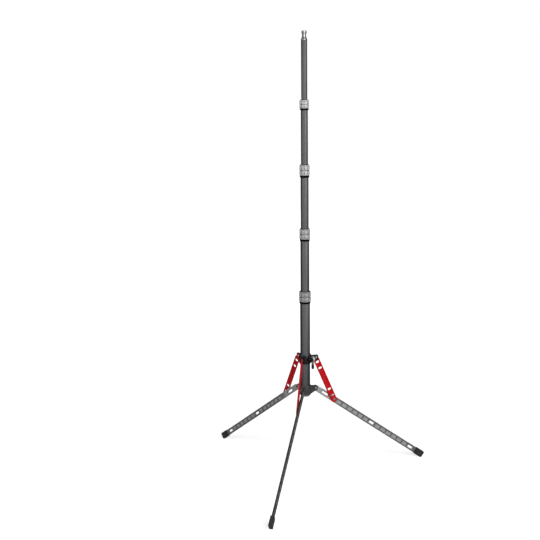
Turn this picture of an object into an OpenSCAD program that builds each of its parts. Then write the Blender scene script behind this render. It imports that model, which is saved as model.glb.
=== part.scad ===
// Folding light stand: five-section telescopic mast on three reverse-folding flat legs.
// Units are millimetres. +Z is up along the mast. The origin is on the mast axis,
// at the flat underside of the end plug that closes the lowest tube.
// Leg A points along -Y, leg B along azimuth 30 degrees, leg C along azimuth 150 degrees.

/* [Mast tubes] */
// Outside diameter of the lowest, outermost tube
tube5_od = 32; // [31.6:0.1:32.4]
// Outside diameter of the fourth tube
tube4_od = 28; // [27.8:0.1:28.2]
// Outside diameter of the third tube
tube3_od = 25; // [24.8:0.1:25.2]
// Outside diameter of the second tube
tube2_od = 22; // [21.8:0.1:22.2]
// Outside diameter of the topmost tube
tube1_od = 19; // [18.8:0.1:19.2]
// Radial gap between one tube and the bore of the next
tube_gap = 0.5; // [0.4:0.05:0.6]
// Distance from the lower end of an inner tube up to the underside of its twist lock
tube_overlap = 130; // [100:5:130]

/* [Twist locks] */
// Underside of the lowest twist lock above the origin
lock4_z = 313; // [311:1:320]
// Underside of the third twist lock above the origin
lock3_z = 517; // [510:1:520]
// Underside of the second twist lock above the origin
lock2_z = 719.5; // [715:0.5:724]
// Underside of the topmost twist lock above the origin
lock1_z = 928; // [920:1:932]
// Height of each of the three lower twist locks
lock_h = 41; // [39:1:43]
// Height of the topmost twist lock
lock1_h = 32.5; // [31:0.5:35]
// Outside diameter over the grip pads, lowest lock
lock4_od = 38.4; // [37.8:0.2:39]
// Outside diameter over the grip pads, third lock
lock3_od = 34.2; // [33.8:0.2:35]
// Outside diameter over the grip pads, second lock
lock2_od = 32; // [31:0.2:33]
// Outside diameter over the grip pads, topmost lock
lock1_od = 30; // [28:0.2:31]
// Number of grip pads around each lock
pad_count = 10; // [8:1:12]

/* [Top spigot] */
// Diameter of the spigot
spigot_d = 16; // [15.8:0.1:16]
// Diameter of the neck under the spigot rim
spigot_neck_d = 13; // [12:0.5:14]
// Height of the spigot above the topmost tube
spigot_h = 28.5; // [26:0.5:32]
// Top of the topmost tube above the origin
mast_top = 1138; // [1130:1:1150]

/* [Legs] */
// Distance from the mast axis to the leg and link pivots
pivot_r = 34; // [33.5:0.1:35]
// Height of the leg pivots above the origin
pivot_z = 25; // [24:0.5:26]
// Angle of an open leg below the horizontal
leg_angle = 36; // [35:0.5:37]
// Length of a leg from its pivot to the end of its foot cap
leg_len = 482; // [476:1:486]
// Width of a leg bar
leg_w = 20; // [19:0.5:20.5]
// Thickness of a leg bar
leg_t = 5; // [4.8:0.1:5]
// Depth of the milled pockets on each face of a leg
pocket_d = 1.35; // [0.6:0.05:1.6]
// Distance along a leg from its pivot to the knee rivet
knee_s = 80; // [79:0.5:82]
// Height of the upper pivots above the leg pivots with the legs open
hub_rise = 105; // [104:0.5:107]

/* [Stay links] */
// Width of a stay link
link_w = 20.4; // [19.4:0.2:20.8]
// Thickness of a stay link
link_t = 2.6; // [2.4:0.1:3]

/* [Hubs] */
// Outside diameter of the fixed lower hub
lower_hub_d = 37.2; // [36.4:0.2:38]
// Outside diameter of the sliding upper hub
upper_hub_d = 39.6; // [39:0.2:40]
// Height of the hubs at their ears
hub_h = 28; // [27:0.5:29]

/* [Hidden] */

$fn = 96;
glue = 0.02;                 // gap of a bonded or pressed joint
run = 0.06;                  // radial gap of a running joint
reach = 20;                  // how far a through cut extends to each side
pin_color = [0.78, 0.78, 0.78];
washer_color = [0.9, 0.9, 0.88];

// azimuths of the three leg units
az_a = 270;
az_b = 30;
az_c = 150;

// tubes, index 1 (top) to 5 (bottom)
tube_od = [0, tube1_od, tube2_od, tube3_od, tube4_od, tube5_od];
tube1_wall = 1.2;
mast_r = tube5_od / 2;
plug_flange = 5;             // height of the end plug below the lowest tube
sleeve_h = 44;
function outer_r(k) = tube_od[k] / 2;
function bore_r(k) = k == 1 ? outer_r(1) - tube1_wall : outer_r(k - 1) + tube_gap;

// twist locks, index 1 (top) to 4 (bottom); lock k joins tube k to tube k + 1
// Profile heights marked "* s" are drawn for a lock drawn_h high and scaled by s.
drawn_h = 41;
wiper_h = 1.8;               // height of the wiper seal above its nut
lock_z = [0, lock1_z, lock2_z, lock3_z, lock4_z];
lock_heights = [0, lock1_h, lock_h, lock_h, lock_h];
lock_od = [0, lock1_od, lock2_od, lock3_od, lock4_od];
function lock_scale(k) = lock_heights[k] / drawn_h;
function lock_r(k) = lock_od[k] / 2;
function nut_top(k) = lock_heights[k] - wiper_h;
function bush_bore_r(k) = outer_r(k + 1) + glue;
function collet_r(k) = outer_r(k + 1) + 0.75;
function tube_bottom(k) = k == 5 ? plug_flange + glue : lock_z[k] - tube_overlap;
function tube_top(k) = k == 1 ? mast_top : lock_z[k - 1] + 20 * lock_scale(k - 1);

// stay link, from its upper pivot to the knee
knee_out = knee_s * cos(leg_angle);
knee_drop = knee_s * sin(leg_angle);
link_len = sqrt(knee_out * knee_out + pow(hub_rise + knee_drop, 2));
link_angle = asin(knee_out / link_len);  // from the vertical

// hubs
hub_z = pivot_z + hub_rise;  // height of the upper pivots
lower_z0 = plug_flange;
upper_z0 = hub_z + 10.8 - hub_h;
lower_h = hub_h + 3.8;       // height of the collar of the lower hub
upper_h = hub_h + 1.6;       // height of the collar of the upper hub
liner_r = mast_r + 1.2;      // outer radius of the liner

// layers across the thickness of one leg unit, in its tangential direction
link_in = -0.5;              // link face towards the leg
link_out = link_in - link_t;
leg_in = 0.1;                // leg face towards the link
leg_out = leg_in + leg_t;
ear_t = 5;
ear_in = -0.4;               // lower ear face towards the leg
ear_out = ear_in - ear_t;
upper_ear_in = link_out - 0.4;  // upper ear face towards the link
upper_ear_out = upper_ear_in - ear_t;

// pins and rivets
pin_r = 2.6;
washer_r = 6.8;
knee_head_r = 3.9;
knee_head_h = 1.6;

// clamp of the upper hub
clamp_az = 320;
clamp_r = 31;                // mast axis to screw axis
clamp_z = hub_z + 1;
lug_in = 1.2;                // half width of the slit
lug_out = 4.4;               // half width over both lugs
lug_r = 5.7;

// foot caps
floor_cut = 2.6;             // height of the flat cut under a foot cap
cap_len = 36;
cap_w = 23;
cap_t = 11;
cap_end = 8;                 // solid end of the cap beyond the bar
bar_end = leg_len - cap_end;
floor_z = pivot_z - leg_len * sin(leg_angle) - cap_w / 2 * cos(leg_angle) + floor_cut;

// ---- shared shapes and frames ----
// ring with a rectangular section
module ring(inner, outer, z0, z1) {
    translate([0, 0, z0]) difference() {
        cylinder(r = outer, h = z1 - z0);
        translate([0, 0, -1]) cylinder(r = inner, h = z1 - z0 + 2);
    }
}
// frame of one leg unit: x outward, y tangential, z up
module unit(azimuth) { rotate([0, 0, azimuth]) children(); }
module each_unit() { for (azimuth = [az_a, az_b, az_c]) unit(azimuth) children(); }
// pin along y, centred on [x, z]
module cross_pin(x, z, radius, y0, y1) {
    translate([x, y0, z]) rotate([-90, 0, 0]) cylinder(r = radius, h = y1 - y0);
}
// cutter for a bore along y, right through
module cross_bore(x, z, radius) { cross_pin(x, z, radius, -reach, reach); }
// flat plate from y0 to y1, its 2-D outline given as [x, z]
module plate(y0, y1) {
    translate([0, y1, 0]) rotate([90, 0, 0]) linear_extrude(height = y1 - y0) children();
}
// cutters that sink a 2-D outline into both faces of a plate from y0 to y1
module sink_both(y0, y1, depth) {
    plate(y0 - 1, y0 + depth) children();
    plate(y1 - depth, y1 + 1) children();
}
// frame along an open leg: x along the bar, y tangential, z across its width
module leg_frame(azimuth) {
    unit(azimuth) translate([pivot_r, 0, pivot_z]) rotate([0, leg_angle, 0]) children();
}
// frame along an open stay link: x from the upper pivot towards the knee
module link_frame(azimuth) {
    unit(azimuth) translate([pivot_r, 0, hub_z]) rotate([0, 90 - link_angle, 0]) children();
}
// obround outline, long axis along x
module obround(length, width) {
    square([length - width, width], center = true);
    for (side = [-1, 1]) translate([side * (length - width) / 2, 0]) circle(d = width, $fn = 48);
}
// rectangle with rounded corners, as one outline
module round_rect(length, width, radius) {
    polygon([for (q = [0 : 3], i = [0 : 4])
        let (
            angle = q * 90 + i * 22.5,
            x = (q == 0 || q == 3 ? 1 : -1) * (length / 2 - radius),
            y = (q < 2 ? 1 : -1) * (width / 2 - radius)
        )
        [x + radius * cos(angle), y + radius * sin(angle)]]);
}
// point where a line from a given point touches a circle, on the counter-clockwise side
function tangent_point(centre, radius, from) =
    let (
        distance = norm(centre - from),
        angle = atan2(from[1] - centre[1], from[0] - centre[0]) + acos(radius / distance)
    )
    [centre[0] + radius * cos(angle), centre[1] + radius * sin(angle)];

// ---- mast; revolved profiles are [radius, height] ----
module mast_tube(k) {
    color([0.25, 0.26, 0.27]) ring(bore_r(k), outer_r(k), tube_bottom(k), tube_top(k));
}
module tube_1() { mast_tube(1); }
module tube_2() { mast_tube(2); }
module tube_3() { mast_tube(3); }
module tube_4() { mast_tube(4); }
module tube_5() { mast_tube(5); }

// black threaded bush bonded on the outer tube; its lower ring shows under the nut
module lock_bush(k) {
    s = lock_scale(k);
    bore = bush_bore_r(k);
    rim = lock_r(k);
    lip = outer_r(k) + 0.3;
    color([0.03, 0.03, 0.03]) translate([0, 0, lock_z[k]]) rotate_extrude() polygon([
        [bore, 0], [bore + 0.9, 0], [rim - 1.2, 2], [rim - 1, 3], [rim - 1, 6.9 * s],
        [bore + 0.5, 6.9 * s], [bore + 0.5, 8.6 * s], [bore + 0.85, 9.2 * s],
        [bore + 0.85, 21 * s], [bore + 0.5, 21.8 * s],
        [lip, 21.8 * s], [lip, 20.1 * s], [bore, 20.1 * s]
    ]);
}
module lock_bush_1() { lock_bush(1); }
module lock_bush_2() { lock_bush(2); }
module lock_bush_3() { lock_bush(3); }
module lock_bush_4() { lock_bush(4); }

// split tapered collet that the nut squeezes on the inner tube
module collet(k) {
    s = lock_scale(k);
    bore = outer_r(k) + run;
    rim = collet_r(k);
    split_w = 1.5;
    color([0.16, 0.16, 0.17]) translate([0, 0, lock_z[k]]) difference() {
        rotate_extrude() polygon([
            [bore, 22 * s], [rim, 22 * s], [rim, 24.5 * s], [bore + 0.9, 34 * s], [bore, 34 * s]
        ]);
        translate([0, -split_w / 2, 20 * s]) cube([30, split_w, 20 * s]);
    }
}
module collet_1() { collet(1); }
module collet_2() { collet(2); }
module collet_3() { collet(3); }
module collet_4() { collet(4); }

// silver nut with two rows of grip pads and a groove between them
module lock_nut(k) {
    s = lock_scale(k);
    bore = bush_bore_r(k) + 0.95;
    rim = lock_r(k);
    body = rim - 1.15;
    mouth = outer_r(k) + run + 1.1;
    top = nut_top(k);
    pad_pitch = 360 / pad_count;
    pad_root = rim - 1.35;
    lower_pad = [
        [pad_root, 9.2 * s], [rim - 0.6, 9.2 * s], [rim, 10.6 * s],
        [rim, 19.6 * s], [rim - 0.5, 20.6 * s], [pad_root, 20.6 * s]
    ];
    upper_pad = [
        [pad_root, 23.8 * s], [rim - 0.5, 23.8 * s], [rim, 24.8 * s],
        [rim, top - 5.2], [rim - 0.5, top - 4.1], [pad_root, top - 4.1]
    ];
    color([0.66, 0.67, 0.68]) translate([0, 0, lock_z[k]]) {
        rotate_extrude() polygon([
            [bore, 7.1 * s], [rim - 1.1, 7.1 * s], [rim - 0.9, 8.4 * s], [body, 9 * s],
            [body, 21 * s], [rim - 1.5, 21.4 * s], [rim - 1.5, 23 * s], [body, 23.4 * s],
            [body, top - 3.4], [rim - 0.3, top - 2.6], [rim - 0.3, top - 0.8], [rim - 1.1, top],
            [mouth, top], [mouth, 34.5 * s], [collet_r(k) + 0.2, 24.5 * s], [bore, 22.4 * s]
        ]);
        for (i = [0 : pad_count - 1], pad = [lower_pad, upper_pad])
            rotate([0, 0, i * pad_pitch]) rotate_extrude(angle = pad_pitch * 0.78) polygon(pad);
    }
}
module lock_nut_1() { lock_nut(1); }
module lock_nut_2() { lock_nut(2); }
module lock_nut_3() { lock_nut(3); }
module lock_nut_4() { lock_nut(4); }

// black wiper ring on top of the nut
module wiper_seal(k) {
    top = nut_top(k);
    rim = lock_r(k);
    tube = outer_r(k);
    color([0.05, 0.05, 0.05]) translate([0, 0, lock_z[k]]) rotate_extrude() polygon([
        [tube + run, top - 2.6], [tube + 1.1, top - 2.6], [tube + 1.1, top + glue],
        [rim - 1.4, top + glue], [rim - 1.9, top + 1.1],
        [tube + 0.8, top + wiper_h], [tube + run, top + wiper_h]
    ]);
}
module wiper_seal_1() { wiper_seal(1); }
module wiper_seal_2() { wiper_seal(2); }
module wiper_seal_3() { wiper_seal(3); }
module wiper_seal_4() { wiper_seal(4); }

// thin sleeve on the lower end of a tube, which centres it in the next
module guide_sleeve(k) {
    z0 = tube_bottom(k) + 1;
    color([0.85, 0.85, 0.82]) ring(outer_r(k) + glue, bore_r(k + 1) - run, z0, z0 + sleeve_h);
}
module guide_sleeve_1() { guide_sleeve(1); }
module guide_sleeve_2() { guide_sleeve(2); }
module guide_sleeve_3() { guide_sleeve(3); }
module guide_sleeve_4() { guide_sleeve(4); }

// spigot with a rim, a waisted neck and a cone down to the tube
module spigot() {
    rim = spigot_d / 2;
    neck = spigot_neck_d / 2;
    plug = bore_r(1) - glue;
    flange = outer_r(1) + 0.3;
    color([0.5, 0.5, 0.5]) translate([0, 0, mast_top]) rotate_extrude() polygon([
        [0, -22], [plug - 0.6, -22], [plug, -21.4], [plug, 0], [plug, glue],
        [flange, glue], [flange, 1.8], [neck, 10.5], [neck, spigot_h - 8],
        [rim, spigot_h - 6.6], [rim, spigot_h - 0.8], [rim - 0.8, spigot_h], [0, spigot_h]
    ]);
}

// plug that closes the lowest tube
module end_plug() {
    skirt = bore_r(5) - glue;
    color([0.72, 0.72, 0.72]) rotate_extrude() polygon([
        [0, 0], [mast_r - 1.4, 0], [mast_r - 0.3, 1.1], [mast_r - 0.3, plug_flange],
        [skirt, plug_flange], [skirt, 17], [skirt - 2, 17], [skirt - 2, 6.5], [0, 6.5]
    ]);
}

// ---- hubs ----
// collar with chamfered outer edges; top_chamfer is [width, height]
module hub_collar(z0, inner, outer, height, top_chamfer) {
    translate([0, 0, z0]) rotate_extrude() polygon([
        [inner, 0], [outer - 1.2, 0], [outer, 1.2], [outer, height - top_chamfer[1]],
        [outer - top_chamfer[0], height], [inner, height]
    ]);
}
// upright ribs on a collar, between the ears
module hub_ribs(azimuths, root, depth, z0, collar_h) {
    for (azimuth = azimuths) unit(azimuth)
        translate([root, -1.5, z0 + 2]) cube([depth, 3, collar_h - 5]);
}

// outline of a lower ear: boss round the leg pin, gusset in to the collar
module lower_ear_outline() {
    boss_r = 8;
    root = mast_r + 1.2;
    pivot = [pivot_r, pivot_z];
    foot = [root, lower_z0 + 1.5];
    translate(pivot) circle(r = boss_r);
    polygon([
        foot, tangent_point(pivot, boss_r, foot), pivot,
        [pivot_r, pivot_z + boss_r], [root, lower_z0 + lower_h - 1]
    ]);
}
module lower_ear() {
    plate(ear_out, ear_in) lower_ear_outline();
    // stiffening rib round the gusset
    plate(ear_out - 1.2, ear_out + 0.5) difference() {
        lower_ear_outline();
        translate([pivot_r, pivot_z]) circle(r = 5.6);
        polygon([
            [mast_r, lower_z0 + 6.5], [pivot_r - 7.5, pivot_z - 3.8],
            [pivot_r - 7.5, pivot_z + 5.5], [mast_r, pivot_z + 5.5]
        ]);
    }
}
module lower_hub() {
    color([0.09, 0.095, 0.1]) difference() {
        union() {
            hub_collar(lower_z0, mast_r - 1, lower_hub_d / 2, lower_h, [0.9, 3]);
            each_unit() lower_ear();
            hub_ribs([330, 90, 210], mast_r + 1.2, 2.6, lower_z0, lower_h);
        }
        translate([0, 0, -1]) cylinder(r = mast_r + glue, h = 60);
        each_unit() cross_pin(pivot_r, pivot_z, pin_r + glue, -20, 10);
    }
}

// one ear of the sliding hub: a square block round the link pin,
// with a lip over the end of the link
module upper_ear() {
    root = mast_r + 2;
    top_edge = [
        [root, hub_z + 7.4], [mast_r + 5, hub_z + 8.2],
        [pivot_r + 7.2, hub_z + 8.2], [pivot_r + 8.6, hub_z + 6.8]
    ];
    plate(upper_ear_out, upper_ear_in) polygon(concat(top_edge, [
        [pivot_r + 9, hub_z - 5.6], [pivot_r + 6.8, hub_z - 8.8], [pivot_r + 1.5, hub_z - 11.2],
        [mast_r + 4, upper_z0 + 2.4], [root, upper_z0 + 1.4]
    ]));
    plate(upper_ear_in - 0.5, link_in + 0.3) polygon(concat(top_edge, [
        [pivot_r + 8.8, hub_z + 5.6], [pivot_r + 7.7, hub_z + 5.6], [pivot_r + 6.4, hub_z + 7.2],
        [pivot_r - 7, hub_z + 7.2], [pivot_r - 10.5, hub_z + 4.5], [root, hub_z + 4.5]
    ]));
}
module clamp_lugs() {
    root = mast_r + 2;
    unit(clamp_az) plate(-lug_out, lug_out) {
        translate([clamp_r, clamp_z]) circle(r = lug_r);
        translate([root, clamp_z - lug_r]) square([clamp_r - root, 2 * lug_r]);
    }
}
// cutter for the slit between the lugs, passing the collar by overrun at each end
module clamp_slit(length, overrun) {
    unit(clamp_az) translate([mast_r - 1, -lug_in, upper_z0 - overrun])
        cube([length, 2 * lug_in, upper_h + 2 * overrun]);
}
module upper_hub() {
    color([0.08, 0.085, 0.09]) difference() {
        union() {
            hub_collar(upper_z0, mast_r + 0.4, upper_hub_d / 2, upper_h, [1, 2.4]);
            each_unit() upper_ear();
            hub_ribs([90, 210], mast_r + 2.4, 2.4, upper_z0, upper_h);
            clamp_lugs();
        }
        translate([0, 0, upper_z0 - 1]) cylinder(r = liner_r + glue, h = upper_h + 2);
        clamp_slit(40, 1);
        unit(clamp_az) cross_bore(clamp_r, clamp_z, pin_r + 0.15);
        each_unit() cross_pin(pivot_r, hub_z, pin_r + glue, -20, 10);
    }
}
// split plastic liner between the sliding hub and the tube
module hub_liner() {
    color([0.35, 0.35, 0.35]) difference() {
        ring(mast_r + run, liner_r, upper_z0 - 0.4, upper_z0 + upper_h + 0.4);
        clamp_slit(10, 2);
    }
}

// socket-head screw through the clamp lugs
module clamp_screw() {
    color([0.04, 0.04, 0.04]) unit(clamp_az) difference() {
        union() {
            cross_pin(clamp_r, clamp_z, pin_r, -lug_out - 1, lug_out + 6.9);
            cross_pin(clamp_r, clamp_z, 4.2, -lug_out - 4, -lug_out - glue);
        }
        // hexagon socket
        translate([clamp_r, -lug_out - 5, clamp_z])
            rotate([-90, 0, 0]) cylinder(r = 2.3, h = 3.4, $fn = 6);
    }
}
module clamp_washer() {
    color([0.2, 0.2, 0.2]) unit(clamp_az) difference() {
        cross_pin(clamp_r, clamp_z, 5.5, lug_out + glue, lug_out + 0.9);
        cross_pin(clamp_r, clamp_z, pin_r + glue, 0, 20);
    }
}
// cast clamp lever: round boss with an arm that hangs down
module clamp_lever() {
    y0 = lug_out + 1;
    tip_r = 4.8;
    tip_z = clamp_z - 29;
    waist_z = clamp_z - 13;
    color([0.72, 0.71, 0.7]) unit(clamp_az) difference() {
        union() {
            cross_pin(clamp_r, clamp_z, 9.2, y0, y0 + 5.4);
            cross_pin(clamp_r, clamp_z, 7.2, y0, y0 + 6.4);
            plate(y0 + 0.6, y0 + 5) {
                translate([clamp_r, tip_z]) circle(r = tip_r);
                polygon([
                    [clamp_r - 8, clamp_z], [clamp_r + 8, clamp_z],
                    [clamp_r + 4.2, waist_z], [clamp_r + tip_r, tip_z],
                    [clamp_r - tip_r, tip_z], [clamp_r - 4.2, waist_z]
                ]);
            }
        }
        // screw bore and a wider recess in the outer face
        cross_pin(clamp_r, clamp_z, pin_r + run, 0, 30);
        cross_pin(clamp_r, clamp_z, 4.6, y0 + 5, 30);
    }
}

// ---- pivots: each pin is a shank with a head at each end ----
module leg_pins() {
    color(pin_color) each_unit() {
        cross_pin(pivot_r, pivot_z, pin_r, ear_out - 1, leg_out + 0.6);
        cross_pin(pivot_r, pivot_z, 3.4, ear_out - 2.4, ear_out - glue);
        cross_pin(pivot_r, pivot_z, 3.3, leg_out + 0.08, leg_out + 1.1);
    }
}
module link_pins() {
    color(pin_color) each_unit() {
        cross_pin(pivot_r, hub_z, pin_r, upper_ear_out - 1, link_in - 0.4);
        cross_pin(pivot_r, hub_z, 3.7, upper_ear_out - 1.7, upper_ear_out - glue);
        cross_pin(pivot_r, hub_z, 3.5, link_in - 1.15, link_in + 0.25);
    }
}
// washers that fill the gap from an ear at y0 to the bar or link at y1
module pivot_washers(z, y0, y1) {
    color(washer_color) each_unit() difference() {
        cross_pin(pivot_r, z, washer_r, y0 + glue, y1 - 0.04);
        cross_bore(pivot_r, z, pin_r + glue);
    }
}
module leg_washers() { pivot_washers(pivot_z, ear_in, leg_in); }
module link_washers() { pivot_washers(hub_z, upper_ear_in, link_out); }

// ---- legs ----
slot2_s = 247;
slot3_s = 424;
// pocket centre, pocket length, slot centre, slot length, slot width
leg_slots = [
    [41, 31, 42.5, 25, 6],
    [slot2_s, 25, slot2_s, 20, 6.5],
    [slot3_s, 25, slot3_s, 20, 6.5]
];
// start and end of each row of plain pockets along the leg
slot_margin = 14.5;
pocket_rows = [
    [knee_s + 12, slot2_s - slot_margin],
    [slot2_s + slot_margin, slot3_s - slot_margin]
];
row_count = 6;               // pockets in a row
pocket_w = leg_w - 8;
pocket_web = 3.8;            // bar left between two pockets of a row

module leg_outline() {
    half_w = leg_w / 2;
    circle(r = half_w - 2);
    polygon([
        [0, 2 - half_w], [7, -half_w], [bar_end, -half_w],
        [bar_end, half_w], [7, half_w], [0, half_w - 2]
    ]);
}
module leg(azimuth) {
    color([0.42, 0.43, 0.43]) leg_frame(azimuth) difference() {
        plate(leg_in, leg_out) leg_outline();
        // pin and rivet bores
        cross_bore(0, 0, pin_r + run);
        cross_bore(knee_s, 0, pin_r + glue);
        // lightening slots, right through
        plate(-reach, reach)
            for (slot = leg_slots) translate([slot[2], 0]) obround(slot[3], slot[4]);
        // milled pockets on both faces
        sink_both(leg_in, leg_out, pocket_d) {
            for (slot = leg_slots) translate([slot[0], 0]) round_rect(slot[1], pocket_w, 3);
            for (row = pocket_rows) {
                pitch = (row[1] - row[0]) / row_count;
                for (i = [0 : row_count - 1]) translate([row[0] + pitch * (i + 0.5), 0])
                    round_rect(pitch - pocket_web, pocket_w, 2.4);
            }
        }
    }
}
module leg_a() { leg(az_a); }
module leg_b() { leg(az_b); }
module leg_c() { leg(az_c); }

// rubber cap on the end of a leg, cut flat where it stands
module foot_cap(azimuth) {
    y_mid = (leg_in + leg_out) / 2;
    y0 = y_mid - cap_t / 2;
    y1 = y_mid + cap_t / 2;
    x_mid = leg_len - cap_len / 2;
    x_mouth = leg_len - cap_len;
    color([0.05, 0.05, 0.05]) difference() {
        leg_frame(azimuth) difference() {
            // full outline, with a smaller one 1 mm proud on each face
            union() {
                plate(y0 + 1, y1 - 1) translate([x_mid, 0]) round_rect(cap_len, cap_w, 4);
                plate(y0, y1) translate([x_mid, 0]) round_rect(cap_len - 2, cap_w - 2, 3.4);
            }
            // panel sunk in each face
            sink_both(y0, y1, 0.9)
                translate([x_mid + 4, 0]) round_rect(cap_len - 14, cap_w - 8, 3);
            // two grooves across each face, near the mouth
            for (i = [0, 1]) sink_both(y0, y1, 0.8)
                translate([x_mouth + 3.4 + 3 * i, 0]) square([1.3, cap_w + 4], center = true);
            // socket for the bar
            translate([x_mouth - 1, leg_in - glue, -leg_w / 2 - glue])
                cube([cap_len - cap_end + 1 + glue, leg_t + 2 * glue, leg_w + 2 * glue]);
        }
        // everything below the floor
        unit(azimuth) translate([300, -30, floor_z - 30]) cube([200, 60, 30]);
    }
}
module foot_cap_a() { foot_cap(az_a); }
module foot_cap_b() { foot_cap(az_b); }
module foot_cap_c() { foot_cap(az_c); }

// ---- stay links ----
link_end_r = 6.8;            // rounded upper end
link_slots = [0.113, 0.254, 0.75, 0.905];  // slot places as fractions of link_len

module link_outline() {
    half_w = link_w / 2;
    circle(r = link_end_r);
    translate([link_len, 0]) circle(r = half_w);
    polygon([
        [0, -link_end_r], [3, -7.4], [9, -half_w], [link_len, -half_w],
        [link_len, half_w], [9, half_w], [3, 7.4], [0, link_end_r]
    ]);
}
module stay_link(azimuth) {
    color([0.8, 0.07, 0.1]) link_frame(azimuth) difference() {
        plate(link_out, link_in) link_outline();
        // pin bore, recess for the pin head, rivet bore
        cross_bore(0, 0, pin_r + run);
        cross_pin(0, 0, 3.6, link_in - 1.2, link_in + 5);
        cross_bore(link_len, 0, pin_r + glue);
        // slots across the link
        plate(-reach, reach) for (place = link_slots)
            translate([link_len * place, 0]) rotate([0, 0, 90]) obround(11.4, 7.8);
        // shallow panel on both faces
        sink_both(link_out, link_in, 0.6)
            translate([link_len / 2, 0]) obround(link_len * 0.41, 11.4);
    }
}
module link_a() { stay_link(az_a); }
module link_b() { stay_link(az_b); }
module link_c() { stay_link(az_c); }

// half of the knee rivet held in the link
module knee_rivet(azimuth) {
    color(pin_color) link_frame(azimuth) {
        cross_pin(link_len, 0, pin_r, link_out - 1, link_in - 0.05);
        cross_pin(link_len, 0, knee_head_r, link_out - knee_head_h, link_out - glue);
    }
}
module knee_rivet_a() { knee_rivet(az_a); }
module knee_rivet_b() { knee_rivet(az_b); }
module knee_rivet_c() { knee_rivet(az_c); }

// half of the knee rivet held in the leg
module knee_stud(azimuth) {
    color(pin_color) leg_frame(azimuth) {
        cross_pin(knee_s, 0, pin_r, leg_in, leg_out + 1);
        cross_pin(knee_s, 0, knee_head_r, leg_out + glue, leg_out + knee_head_h);
    }
}
module knee_stud_a() { knee_stud(az_a); }
module knee_stud_b() { knee_stud(az_b); }
module knee_stud_c() { knee_stud(az_c); }

tube_1();
tube_2();
tube_3();
tube_4();
tube_5();
lock_nut_1();
lock_nut_2();
lock_nut_3();
lock_nut_4();
lock_bush_1();
lock_bush_2();
lock_bush_3();
lock_bush_4();
collet_1();
collet_2();
collet_3();
collet_4();
wiper_seal_1();
wiper_seal_2();
wiper_seal_3();
wiper_seal_4();
guide_sleeve_1();
guide_sleeve_2();
guide_sleeve_3();
guide_sleeve_4();
spigot();
end_plug();
lower_hub();
upper_hub();
hub_liner();
clamp_screw();
clamp_washer();
clamp_lever();
leg_pins();
leg_washers();
link_pins();
link_washers();
leg_a();
leg_b();
leg_c();
foot_cap_a();
foot_cap_b();
foot_cap_c();
link_a();
link_b();
link_c();
knee_rivet_a();
knee_rivet_b();
knee_rivet_c();
knee_stud_a();
knee_stud_b();
knee_stud_c();
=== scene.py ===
"""Looks and studio for a telescopic carbon pole on three folding legs.

The pole stands along Z through the origin. Legs A, B and C spread from it at the azimuths
in LEG_AZIMUTHS, and the floor lies under the lowest point. Units are metres unless a name
or comment says millimetres.
"""
import bpy
import math
import random
from math import radians
from mathutils import Vector, Matrix


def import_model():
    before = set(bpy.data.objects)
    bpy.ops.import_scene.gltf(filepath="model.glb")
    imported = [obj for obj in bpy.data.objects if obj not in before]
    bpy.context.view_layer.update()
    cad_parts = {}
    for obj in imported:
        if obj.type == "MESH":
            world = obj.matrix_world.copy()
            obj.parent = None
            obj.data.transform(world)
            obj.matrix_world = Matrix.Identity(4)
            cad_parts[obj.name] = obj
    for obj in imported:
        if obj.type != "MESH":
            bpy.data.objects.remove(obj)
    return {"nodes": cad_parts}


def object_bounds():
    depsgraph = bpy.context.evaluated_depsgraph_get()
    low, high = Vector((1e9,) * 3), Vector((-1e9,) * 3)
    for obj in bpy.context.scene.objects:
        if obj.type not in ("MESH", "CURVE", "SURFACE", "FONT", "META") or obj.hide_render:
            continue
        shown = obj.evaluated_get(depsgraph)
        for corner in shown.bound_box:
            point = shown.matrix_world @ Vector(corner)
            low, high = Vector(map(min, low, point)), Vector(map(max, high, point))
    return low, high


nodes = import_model()["nodes"]
cad_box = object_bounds()
random.seed(7)

MM = 0.001
LEG_AZIMUTHS = {"a": 270.0, "b": 30.0, "c": 150.0}   # degrees
LEG_DIP = radians(36.0)                              # fall below the horizontal
LINK_RUN, LINK_LENGTH = 0.0647214, 0.1652265         # horizontal reach, full length
LINK_DIP = math.pi / 2 - math.asin(LINK_RUN / LINK_LENGTH)
LEG_OFFSET = 0.0026        # a leg's middle plane, sideways from the radial plane
POCKET_HALF_DEPTH = 0.0019  # pocket floors lie nearer to the middle plane than this
TOW_WIDTH = 2.0            # mm, carbon tow
TUBE_DIAMETERS = {1: 19, 2: 22, 3: 25, 4: 28, 5: 32}  # mm
# The grey rises towards the top nut: painted light on one silver finish.
LOCKS = {1: (0.56, 30.0), 2: (0.52, 32.0), 3: (0.45, 34.2), 4: (0.38, 38.4)}  # grey, mm across


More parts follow.
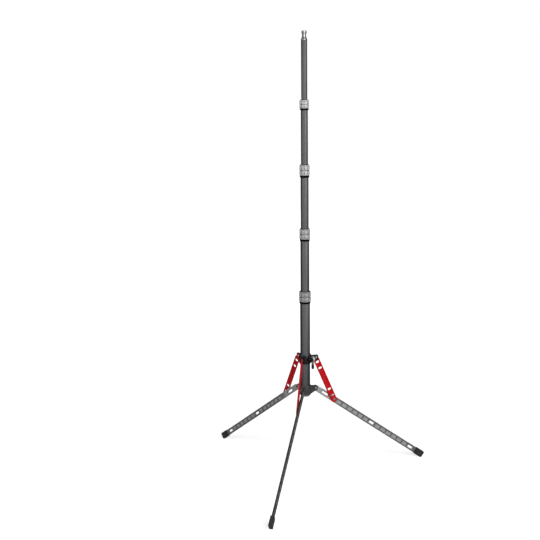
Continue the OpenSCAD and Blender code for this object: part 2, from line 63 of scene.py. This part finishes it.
# ---------------------------------------------------------------- node helpers
class Graph:
    """Short calls that add shader nodes to one tree, which is emptied first."""

    def __init__(self, tree):
        self.tree = tree
        tree.nodes.clear()
        self.coordinates = None

    def put(self, socket, value):
        """Link a socket, or set a plain value."""
        if isinstance(value, bpy.types.NodeSocket):
            self.tree.links.new(value, socket)
        elif isinstance(value, tuple) and len(value) == 3 and socket.type == "RGBA":
            socket.default_value = (*value, 1.0)
        else:
            socket.default_value = value

    def node(self, kind, *values, named=None, **settings):
        """Add a node; values fill its inputs in order, named ones by input name."""
        made = self.tree.nodes.new("ShaderNode" + kind)
        for key, value in settings.items():
            setattr(made, key, value)
        for key, value in [*enumerate(values), *(named or {}).items()]:
            self.put(made.inputs[key], value)
        return made

    def object_coords(self):
        if self.coordinates is None:
            self.coordinates = self.node("TexCoord").outputs["Object"]
        return self.coordinates

    def calc(self, operation, *values):
        return self.node("Math", *values, operation=operation).outputs[0]

    def add(self, a, b):
        return self.calc("ADD", a, b)

    def subtract(self, a, b):
        return self.calc("SUBTRACT", a, b)

    def multiply(self, a, b):
        return self.calc("MULTIPLY", a, b)

    def scale(self, vector, factors):
        return self.node("VectorMath", vector, factors, operation="MULTIPLY").outputs[0]

    def dot(self, a, b):
        return self.node("VectorMath", a, b, operation="DOT_PRODUCT").outputs["Value"]

    def mapping(self, vector, rotation=(0, 0, 0), scale=(1, 1, 1)):
        named = {"Vector": vector, "Rotation": rotation, "Scale": scale}
        return self.node("Mapping", named=named).outputs[0]

    def split(self, vector=None):
        source = self.object_coords() if vector is None else vector
        return self.node("SeparateXYZ", source).outputs

    def join(self, x, y, z):
        return self.node("CombineXYZ", x, y, z).outputs[0]

    def noise(self, scale, detail=3.0, rough=0.5, at=None):
        named = {"Vector": self.object_coords() if at is None else at,
                 "Scale": scale, "Detail": detail, "Roughness": rough}
        return self.node("TexNoise", named=named).outputs["Fac"]

    def voronoi(self, scale):
        named = {"Vector": self.object_coords(), "Scale": scale}
        return self.node("TexVoronoi", named=named).outputs["Distance"]

    def remap(self, value, span, to=(0.0, 1.0), **settings):
        """Carry the range span onto the range to, clamped."""
        return self.node("MapRange", value, *span, *to, **settings).outputs[0]

    def mix(self, factor, a, b):
        """Colour a where factor is 0, colour b where it is 1."""
        made = self.node("Mix", factor, data_type="RGBA")
        self.put(made.inputs[6], a)
        self.put(made.inputs[7], b)
        return made.outputs[2]

    def bump(self, height, strength, distance):
        named = {"Strength": strength, "Distance": distance, "Height": height}
        return self.node("Bump", named=named).outputs[0]

    def normal(self):
        return self.node("NewGeometry").outputs["Normal"]

    def edge(self, radius):
        """0 on flats, towards 1 along convex and concave edges."""
        rounded = self.node("Bevel", named={"Radius": radius}, samples=4).outputs[0]
        return self.remap(self.dot(rounded, self.normal()), span=(0.80, 0.995), to=(1.0, 0.0))

    def crevice(self, distance, span, to):
        """Remapped ambient occlusion: to[0] in tight corners, to[1] in the open."""
        made = self.node("AmbientOcclusion", named={"Distance": distance}, samples=6)
        return self.remap(made.outputs["AO"], span, to)

    def facing(self):
        """0 where the surface faces the viewer, 1 at its outline."""
        return self.node("LayerWeight", named={"Blend": 0.5}).outputs["Facing"]

    def bar_side(self, azimuth):
        """1 on the flat faces of a leg unit's bars, 0 on their narrow edges."""
        angle = radians(azimuth)
        across = self.dot(self.normal(), (-math.sin(angle), math.cos(angle), 0.0))
        return self.remap(self.calc("ABSOLUTE", across), span=(0.30, 0.80))

    def axis_distance(self):
        x, y, z = self.split()
        return self.calc("SQRT", self.add(self.multiply(x, x), self.multiply(y, y)))


class Material(Graph):
    """A new material with one principled shader."""

    INPUTS = {
        "color": "Base Color", "metal": "Metallic", "rough": "Roughness",
        "spec": "Specular IOR Level", "normal": "Normal",
        "coat": "Coat Weight", "coat_rough": "Coat Roughness", "coat_normal": "Coat Normal",
        "sheen": "Sheen Weight", "sheen_rough": "Sheen Roughness",
        "glow_color": "Emission Color", "glow": "Emission Strength",
    }

    def __init__(self, name):
        self.material = bpy.data.materials.new(name)
        self.material.use_nodes = True
        super().__init__(self.material.node_tree)
        self.shader = self.node("BsdfPrincipled")
        self.node("OutputMaterial", self.shader.outputs[0])

    def finish(self, **values):
        for key, value in values.items():
            self.put(self.shader.inputs[self.INPUTS[key]], value)
        return self.material


def tinted(color, factor, lift=0.0):
    return tuple(min(1.0, c * factor + lift) for c in color)


# ---------------------------------------------------------------- materials
def carbon(name, diameter):
    """2/2 twill wrapped round a tube on the Z axis, under a satin clear coat."""
    g = Material(name)
    cells = 4 * round(math.pi * diameter / TOW_WIDTH / 4)   # whole twill repeats
    x, y, z = g.split()
    u = g.multiply(g.calc("ARCTAN2", y, x), cells / (2 * math.pi))
    v = g.multiply(z, 1 / (math.pi * diameter * MM / cells))
    step = g.add(g.calc("FLOOR", u), g.calc("FLOOR", v))
    # In each repeat of four cells, two show the tow that crosses over
    over = g.calc("LESS_THAN", g.calc("FLOORED_MODULO", step, 4.0), 1.5)

    def swell(coordinate):
        return g.calc("SINE", g.multiply(g.calc("FRACT", coordinate), math.pi))

    def filaments(u_scale, v_scale, offset):
        at = g.join(g.multiply(u, u_scale), g.multiply(v, v_scale), offset)
        return g.noise(scale=1.0, detail=2.0, at=at)

    def by_tow(upper, lower):
        return g.add(g.multiply(over, upper), g.multiply(g.subtract(1.0, over), lower))

    height = by_tow(swell(u), swell(v))
    strands = by_tow(filaments(u_scale=16.0, v_scale=0.6, offset=0.0),
                     filaments(u_scale=0.6, v_scale=16.0, offset=3.0))
    base = g.mix(over, (0.112, 0.114, 0.116), (0.180, 0.182, 0.185))
    base = g.mix(g.remap(strands, span=(0.3, 0.7), to=(0.0, 0.45)), base, (0.055, 0.056, 0.058))
    base = g.mix(g.remap(height, span=(0.0, 0.45), to=(0.55, 0.0)), base, (0.035, 0.036, 0.038))
    outline = g.facing()
    # Painted shade: the colour goes near black towards the tube's outline.
    base = g.mix(g.remap(outline, span=(0.10, 0.52)), base, (0.004, 0.004, 0.0045))
    # Pale rub marks, drawn out along the tube
    rub = g.noise(scale=1.0, rough=0.6, at=g.mapping(g.object_coords(), scale=(90, 90, 3)))
    base = g.mix(g.remap(rub, span=(0.62, 0.8), to=(0.0, 0.2)), base, (0.22, 0.22, 0.225))
    wear = g.noise(scale=24.0, detail=4.0, rough=0.6)
    relief = g.add(height, g.multiply(strands, 0.25))
    return g.finish(
        color=base,
        rough=g.add(g.remap(wear, span=(0.3, 0.7), to=(0.30, 0.42)), g.multiply(over, 0.08)),
        spec=g.remap(outline, span=(0.10, 0.50), to=(0.26, 0.03)),
        coat=g.remap(outline, span=(0.10, 0.50), to=(0.09, 0.01)),
        coat_rough=g.remap(wear, span=(0.35, 0.65), to=(0.22, 0.36)),
        normal=g.bump(relief, strength=0.35, distance=0.00012),
        coat_normal=g.bump(g.noise(scale=380.0, detail=2.0), strength=0.08, distance=0.0002))


def satin_metal(name, color, shade, rough, metal, edge_color=None, grain=1900.0, rings=False,
                crevice=0.004, painted_rim=None, painted_rim_span=(0.25, 0.85), groove_radius=None, tip=None):
    """Grained or turned metal.

    shade is painted shade in crevices; the rim colour is painted along the outline, a painted
    highlight where paler than the metal and painted shade where darker; groove_radius is the
    outer radius of a grooved nut; tip is (height span, colour) that darkens the piece lower
    down.
    """
    g = Material(name)
    if rings:      # turned: fine rings round Z
        x, y, z = g.split()
        at = g.join(g.multiply(x, 6.0), g.multiply(y, 6.0), g.multiply(z, 4200.0))
        texture = g.noise(scale=1.0, rough=0.6, at=at)
    else:
        texture = g.noise(scale=grain, rough=0.6)
    blotch = g.noise(scale=35.0, detail=4.0, rough=0.6)
    base = g.mix(g.remap(blotch, span=(0.3, 0.7), to=(0.0, 0.5)), color, tinted(color, 0.86))
    base = g.mix(g.remap(texture, span=(0.35, 0.7), to=(0.0, 0.22)), base, tinted(color, 1.18))
    # Painted light and shade on the outline, by the rim colour.
    if painted_rim is not None:
        base = g.mix(g.remap(g.facing(), painted_rim_span), base, painted_rim)
    if groove_radius is not None:      # shadow at the bottom of the groove between grip rows
        radius = g.axis_distance()
        top = (groove_radius - 0.00145, groove_radius - 0.00120)
        bottom = (groove_radius - 0.0030, groove_radius - 0.0022)
        deep = g.multiply(g.remap(radius, top, to=(1.0, 0.0)), g.remap(radius, bottom))
        shadow = g.multiply(deep, g.remap(g.facing(), span=(0.03, 0.30), to=(0.10, 0.95)))
        base = g.mix(shadow, base, (0.012, 0.012, 0.013))
    if tip is not None:
        tip_span, tip_color = tip
        height = g.add(g.split()[2], g.multiply(blotch, 0.004))
        base = g.mix(g.remap(height, tip_span, to=(1.0, 0.0)), base, tip_color)
    # Painted shade in crevices.
    base = g.mix(g.crevice(crevice, span=(0.35, 0.95), to=(0.9, 0.0)), base, shade)
    if edge_color is not None:
        scuff = g.remap(g.noise(scale=260.0, rough=0.6), span=(0.40, 0.62))
        worn = g.multiply(g.multiply(g.edge(radius=0.0005), scuff), 0.6)
        base = g.mix(worn, base, edge_color)
    uneven = g.add(g.multiply(texture, 0.5), g.multiply(blotch, 0.5))
    return g.finish(color=base, metal=metal, rough=g.remap(uneven, span=(0.3, 0.7), to=rough),
                    normal=g.bump(texture, strength=0.16, distance=0.00006))


def moulded(name, color, edge_color, rough=(0.42, 0.60), grain=1500.0, bump=0.22,
            edge_mix=0.55, spec=0.45):
    """Pebbled plastic with paler edges and a little dust on top."""
    g = Material(name)
    fine = g.noise(scale=grain * 0.7, rough=0.6)
    blotch = g.noise(scale=42.0, detail=4.0, rough=0.55)
    base = g.mix(g.remap(blotch, span=(0.3, 0.7)), color, tinted(color, 1.35, lift=0.002))
    scuff = g.remap(g.noise(scale=180.0), span=(0.35, 0.65), to=(0.3, 1.0))
    worn = g.multiply(g.multiply(g.edge(radius=0.0007), scuff), edge_mix)
    base = g.mix(worn, base, edge_color)
    specks = g.noise(scale=90.0, detail=5.0, rough=0.7)
    dust = g.multiply(g.remap(g.split(g.normal())[2], span=(0.4, 1.0)),
                      g.remap(specks, span=(0.45, 0.75), to=(0.0, 0.12)))
    base = g.mix(dust, base, (0.35, 0.34, 0.33))
    uneven = g.add(blotch, g.multiply(fine, 0.4))
    relief = g.add(g.voronoi(grain), g.multiply(fine, 0.6))
    return g.finish(color=base, rough=g.remap(uneven, span=(0.4, 1.0), to=rough), spec=spec,
                    normal=g.bump(relief, strength=bump, distance=0.00010))


def rubber(name, azimuth=None):
    """Matt rubber; with an azimuth, the band round that leg's middle plane is paler."""
    g = Material(name)
    fine = g.noise(scale=1400.0, detail=4.0, rough=0.65)
    blotch = g.noise(scale=60.0, detail=4.0, rough=0.6)
    base = g.mix(g.remap(blotch, span=(0.3, 0.7)), (0.010, 0.010, 0.011), (0.020, 0.020, 0.021))
    base = g.mix(g.multiply(g.edge(radius=0.0010), 0.25), base, (0.060, 0.059, 0.057))
    if azimuth is not None:
        across = g.split(g.mapping(g.object_coords(), rotation=(0, 0, -radians(azimuth))))[1]
        depth = g.calc("ABSOLUTE", g.subtract(across, LEG_OFFSET))
        band = g.remap(depth, span=(0.0047, 0.0050), to=(0.7, 0.0))
        base = g.mix(band, base, (0.036, 0.036, 0.037))
    sole = g.remap(g.split(g.normal())[2], span=(-0.98, -0.7), to=(0.5, 0.0))
    base = g.mix(sole, base, (0.075, 0.072, 0.068))
    return g.finish(color=base, rough=g.remap(fine, span=(0.3, 0.7), to=(0.70, 0.88)),
                    spec=0.3, sheen=0.12, sheen_rough=0.5,
                    normal=g.bump(fine, strength=0.28, distance=0.00012))


def pin_steel(name):
    """Plated pin ends on the ear side, darker heads on the leg side."""
    g = Material(name)
    texture = g.noise(scale=900.0, rough=0.6)
    x, y, z = g.split()
    heads = None
    for azimuth in LEG_AZIMUTHS.values():
        cosine, sine = math.cos(radians(azimuth)), math.sin(radians(azimuth))
        outward = g.add(g.multiply(x, cosine), g.multiply(y, sine))
        sideways = g.add(g.multiply(x, -sine), g.multiply(y, cosine))
        head = g.multiply(g.calc("GREATER_THAN", outward, 0.025),
                          g.calc("GREATER_THAN", sideways, 0.003))
        heads = head if heads is None else g.calc("MAXIMUM", heads, head)
    steel = g.mix(g.remap(texture, span=(0.35, 0.7), to=(0.0, 0.4)),
                  (0.40, 0.40, 0.40), (0.55, 0.55, 0.55))
    # Painted shade in crevices.
    steel = g.mix(g.crevice(0.003, span=(0.35, 0.95), to=(0.8, 0.0)), steel, (0.06, 0.06, 0.06))
    dark_heads = g.mix(g.remap(texture, span=(0.35, 0.7), to=(0.0, 0.5)),
                  (0.075, 0.076, 0.078), (0.12, 0.12, 0.12))
    return g.finish(color=g.mix(heads, steel, dark_heads), metal=0.8,
                    rough=g.remap(texture, span=(0.3, 0.7), to=(0.30, 0.46)),
                    normal=g.bump(texture, strength=0.12, distance=0.00006))


def anodised(name, azimuth, dip, color, shade, edge_color, narrow_shade_color, rough, metal, wear,
             spec, floor_color=None, near_light_mix=None):
    """Dyed aluminium brushed along a bar at the given azimuth and dip.

    The narrow edges take a colour of painted shade. With floor_color the pocket floors are
    paler, and the near-pole mix paints light over the part near the pole, against the pole's
    shadow.
    """
    g = Material(name)
    # Undo the azimuth, then the dip, so that the bar lies along x
    level = g.mapping(g.object_coords(), rotation=(0, 0, -radians(azimuth)))
    along = g.mapping(level, rotation=(0, -dip, 0))
    brush = g.noise(scale=1.0, detail=4.0, rough=0.65, at=g.scale(along, (70.0, 3000.0, 3000.0)))
    blotch = g.noise(scale=30.0, detail=4.0, rough=0.6)
    base = g.mix(g.remap(blotch, span=(0.3, 0.7), to=(0.0, 0.6)), color, tinted(color, 0.82))
    base = g.mix(g.remap(brush, span=(0.4, 0.75), to=(0.0, 0.30)), base,
                 tinted(color, 1.35, lift=0.01))
    if floor_color is not None:
        # Painted light near the pole, over the pole's shadow on the leg.
        near = g.remap(g.axis_distance(), span=(0.088, 0.112), to=(near_light_mix, 0.0))
        base = g.mix(near, base, tinted(floor_color, 1.05))
        tooling = g.noise(scale=1.0, rough=0.6, at=g.scale(along, (1500.0, 1500.0, 60.0)))
        floor_mix = g.mix(g.remap(tooling, span=(0.35, 0.65), to=(0.0, 0.5)),
                          floor_color, tinted(floor_color, 0.72))
        depth = g.calc("ABSOLUTE", g.subtract(g.split(level)[1], LEG_OFFSET))
        pocket = (POCKET_HALF_DEPTH, POCKET_HALF_DEPTH + 0.0002)
        base = g.mix(g.remap(depth, pocket, to=(1.0, 0.0)), base, floor_mix)
    # Painted shade on the bar's narrow edges.
    narrow = g.multiply(g.subtract(1.0, g.bar_side(azimuth)), 0.92)
    base = g.mix(narrow, base, narrow_shade_color)
    # Painted shade in crevices.
    base = g.mix(g.crevice(0.004, span=(0.35, 0.9), to=(0.7, 0.0)), base, shade)
    scuff = g.remap(g.noise(scale=220.0, rough=0.6), span=(0.35, 0.6), to=(0.35, 1.0))
    worn = g.multiply(g.multiply(g.edge(radius=0.00045), scuff), wear)
    base = g.mix(worn, base, edge_color)
    uneven = g.add(g.multiply(brush, 0.6), g.multiply(blotch, 0.4))
    return g.finish(color=base, metal=metal, rough=g.remap(uneven, span=(0.3, 0.7), to=rough),
                    spec=spec, normal=g.bump(brush, strength=0.12, distance=0.00006))


def lock_silver(number, grey, diameter):
    # Painted highlight: the rim colour makes the nut paler at its outline.
    return satin_metal(
        f"lock_silver_{number}", (grey, grey * 1.01, grey * 1.02), (0.010, 0.010, 0.011),
        rough=(0.55, 0.70), metal=0.45, edge_color=(0.66, 0.66, 0.66), crevice=0.0030,
        painted_rim=(grey * 1.75, grey * 1.76, grey * 1.77), groove_radius=diameter / 2 * MM)


looks = {f"tube_{k}": carbon(f"carbon_{k}", d) for k, d in TUBE_DIAMETERS.items()}
looks.update({f"lock_nut_{k}": lock_silver(k, *lock) for k, lock in LOCKS.items()})
black = moulded("black_moulding", (0.0060, 0.0064, 0.0072), (0.060, 0.062, 0.066),
                rough=(0.28, 0.42), spec=0.30)
hub_grey = moulded("hub_moulding", (0.040, 0.0405, 0.042), (0.100, 0.102, 0.106), spec=0.36)
bush_black = moulded("bush_black", (0.0010, 0.0010, 0.0012), (0.010, 0.010, 0.011),
                     edge_mix=0.2, spec=0.06)
seal = rubber("seal_rubber")
white = moulded("white_nylon", (0.62, 0.62, 0.60), (0.75, 0.75, 0.73),
                rough=(0.3, 0.45), grain=900.0, bump=0.1)
acetal = moulded("grey_acetal", (0.06, 0.06, 0.065), (0.15, 0.15, 0.15),
                 rough=(0.3, 0.4), grain=700.0, bump=0.1)
plug = moulded("plug_grey", (0.34, 0.34, 0.34), (0.50, 0.50, 0.50),
               rough=(0.35, 0.5), grain=1200.0, bump=0.15)
screw = satin_metal("black_oxide", (0.028, 0.028, 0.030), (0.008, 0.008, 0.008),
                    rough=(0.30, 0.45), metal=0.8, edge_color=(0.16, 0.16, 0.16))
lever = satin_metal("cast_lever", (0.66, 0.65, 0.655), (0.07, 0.07, 0.07),
                    rough=(0.30, 0.46), metal=0.6, edge_color=(0.85, 0.85, 0.84), grain=475.0,
                    tip=((0.1125, 0.1195), (0.075, 0.070, 0.072)))
rivet = satin_metal("rivet_steel", (0.40, 0.40, 0.40), (0.06, 0.06, 0.06),
                    rough=(0.28, 0.44), metal=0.9, edge_color=(0.65, 0.65, 0.65), grain=950.0)
# Painted shade: the rim colour darkens the spigot towards its outline.
turned = satin_metal("turned_steel", (0.40, 0.40, 0.405), (0.03, 0.03, 0.03),
                     rough=(0.30, 0.42), metal=0.70, rings=True,
                     painted_rim=(0.014, 0.014, 0.015), painted_rim_span=(0.03, 0.30))
for k in LOCKS:
    looks.update({f"lock_bush_{k}": bush_black, f"collet_{k}": acetal,
                  f"wiper_seal_{k}": seal, f"guide_sleeve_{k}": white})
looks.update(
    spigot=turned, end_plug=plug, lower_hub=hub_grey, upper_hub=black, hub_liner=acetal,
    clamp_screw=screw, clamp_washer=screw, clamp_lever=lever,
    leg_pins=pin_steel("leg_pin_steel"), link_pins=rivet, leg_washers=white, link_washers=white)
for k, azimuth in LEG_AZIMUTHS.items():
    # Painted shade: leg A is a darker copy of the same grey finish, and less light is painted
    # near its pole end.
    shade_tone, near_light_mix = (0.62, 0.20) if k == "a" else (1.0, 0.80)   # leg A is darker
    looks["leg_" + k] = anodised(
        "leg_grey_" + k, azimuth, LEG_DIP, color=tinted((0.165, 0.167, 0.170), shade_tone),
        shade=(0.015, 0.015, 0.016), edge_color=tinted((0.45, 0.45, 0.45), shade_tone),
        narrow_shade_color=tinted((0.030, 0.030, 0.031), shade_tone), rough=(0.40, 0.55), metal=0.20,
        wear=0.5, spec=0.35 * shade_tone, floor_color=tinted((0.44, 0.442, 0.445), shade_tone),
        near_light_mix=near_light_mix)
    looks["link_" + k] = anodised(
        "link_red_" + k, azimuth, LINK_DIP, color=(0.62, 0.0045, 0.010),
        shade=(0.10, 0.001, 0.002), edge_color=(0.72, 0.05, 0.05),
        narrow_shade_color=(0.46, 0.014, 0.022), rough=(0.38, 0.50), metal=0.15, wear=0.30, spec=0.18)
    looks["foot_cap_" + k] = rubber("cap_rubber_" + k, azimuth)
    looks["knee_rivet_" + k] = looks["knee_stud_" + k] = rivet

# ---------------------------------------------------------------- rounded edges
# Name prefix -> edge rounding in mm; the first prefix that fits is used
ROUNDING = {
    "tube": 0.25, "lock_nut": 0.30, "lock_bush": 0.25, "collet": 0.2, "wiper": 0.25,
    "guide": 0.1, "spigot": 0.35, "end_plug": 0.4, "lower_hub": 0.7, "upper_hub": 0.7,
    "hub_liner": 0.15, "clamp_screw": 0.35, "clamp_washer": 0.15, "clamp_lever": 0.9,
    "leg_pins": 0.45, "link_pins": 0.3, "leg_washers": 0.05, "link_washers": 0.05,
    "leg_": 0.45, "link_": 0.5, "foot_cap": 0.7, "knee_": 0.45,
}


def round_edges(piece, width):
    """Round sharp edges with modifiers only; width is in mm."""
    weld = piece.modifiers.new("weld", "WELD")
    weld.merge_threshold = 0.000002
    for face in piece.data.polygons:
        face.use_smooth = True
    planar = piece.modifiers.new("planar", "DECIMATE")
    planar.decimate_type = "DISSOLVE"
    planar.angle_limit = radians(0.4)
    bevel = piece.modifiers.new("bevel", "BEVEL")
    bevel.width = width * MM
    bevel.segments = 3 if width > 0.3 else 2
    bevel.limit_method = "ANGLE"
    bevel.angle_limit = radians(30.0)
    bevel.use_clamp_overlap = True
    bevel.harden_normals = True
    bevel.miter_outer = "MITER_ARC"


for name, piece in nodes.items():
    piece.data.materials.clear()
    piece.data.materials.append(looks[name])
    round_edges(piece, next(w for prefix, w in ROUNDING.items() if name.startswith(prefix)))


# ---------------------------------------------------------------- floor
def floor_paper():
    """White to the camera and brighter outwards; dim grey to every other ray."""
    g = Material("floor_paper")
    seen = g.node("LightPath").outputs["Is Camera Ray"]
    paper = g.mix(g.noise(scale=3.0), (0.86, 0.86, 0.86), (0.90, 0.90, 0.90))
    outward = g.remap(g.axis_distance(), span=(0.3, 1.6), to=(0.58, 1.0))
    return g.finish(color=g.mix(seen, (0.26, 0.26, 0.26), paper), rough=0.85, spec=0.1,
                    glow_color=(1, 1, 1), glow=g.add(0.05, g.multiply(seen, outward)))


FLOOR_GAP = 0.0002
floor_z = cad_box[0][2] - FLOOR_GAP
bpy.ops.mesh.primitive_plane_add(size=14, location=(0, 0, floor_z))
floor = bpy.context.object
floor.name = "floor"
floor.data.materials.append(floor_paper())


# ---------------------------------------------------------------- world
def studio_world():
    """White to the camera; a soft glow from one side lights the pieces."""
    world = bpy.data.worlds.new("studio")
    bpy.context.scene.world = world
    world.use_nodes = True
    g = Graph(world.node_tree)
    glow_azimuth = radians(-55)
    rays = g.node("LightPath").outputs
    toward_glow = g.dot(g.node("TexCoord").outputs["Generated"],
                        (math.cos(glow_azimuth), math.sin(glow_azimuth), 0.0))
    glow = g.remap(toward_glow, span=(-0.15, 0.85), to=(0.03, 0.26),
                   interpolation_type="SMOOTHSTEP")
    extra_in_reflections = 0.34
    strength = g.calc("MULTIPLY_ADD", rays["Is Glossy Ray"], extra_in_reflections, glow)
    ambient = g.node("Background", (0.82, 0.82, 0.83), strength).outputs[0]
    backdrop = g.node("Background", (1, 1, 1), 1.0).outputs[0]
    mixed = g.node("MixShader", rays["Is Camera Ray"], ambient, backdrop)
    g.node("OutputWorld", mixed.outputs[0])


studio_world()

# ---------------------------------------------------------------- lights and camera
CAMERA_AZIMUTH = radians(14.4)      # turn of the camera's axes about Z
CAMERA_DISTANCE, CAMERA_HEIGHT = 2.7089, 0.9449
CAMERA_PITCH, CAMERA_ROLL = radians(10.91), radians(-0.21)   # pitch is downward
# Name, position in camera axes, height aimed at on the Z axis, (width, height), watts
LIGHTS = [
    ("key", (1.55, -2.2, 1.4), 0.35, (1.1, 2.2), 66),
    ("left", (-2.45, -1.05, 1.1), 0.35, (1.0, 2.0), 28),
    ("front", (0.0, -3.4, 1.7), 0.5, (0.8, 1.6), 6),
    ("top", (0.2, 0.2, 2.6), 0.2, (1.6, 1.6), 3),
]


def from_camera_axes(x, y, z):
    """Turn camera axes (x right, y away, z up) into scene axes."""
    cosine, sine = math.cos(CAMERA_AZIMUTH), math.sin(CAMERA_AZIMUTH)
    return Vector((x * cosine - y * sine, x * sine + y * cosine, z))


def link_object(name, data, location):
    made = bpy.data.objects.new(name, data)
    bpy.context.scene.collection.objects.link(made)
    made.location = location
    return made


for name, place, aim_height, size, power in LIGHTS:
    light = bpy.data.lights.new(name, "AREA")
    light.shape = "RECTANGLE"
    light.size, light.size_y = size
    light.energy = power
    location = from_camera_axes(*place)
    lamp = link_object(name, light, location)
    aim = Vector((0, 0, aim_height)) - location
    lamp.rotation_euler = aim.to_track_quat("-Z", "Y").to_euler()

lens = bpy.data.cameras.new("camera")
lens.sensor_width = 36.0
lens.lens = 57.192667
lens.shift_x = -0.064592593
lens.clip_end = 60
camera = link_object("camera", lens, from_camera_axes(0, -CAMERA_DISTANCE, CAMERA_HEIGHT))
look = from_camera_axes(0, math.cos(CAMERA_PITCH), -math.sin(CAMERA_PITCH))
roll = Matrix.Rotation(CAMERA_ROLL, 3, "Z").to_quaternion()
camera.rotation_mode = "QUATERNION"
camera.rotation_quaternion = look.to_track_quat("-Z", "Y") @ roll

scene = bpy.context.scene
scene.camera = camera
scene.view_settings.view_transform = "Standard"
scene.view_settings.look = "None"
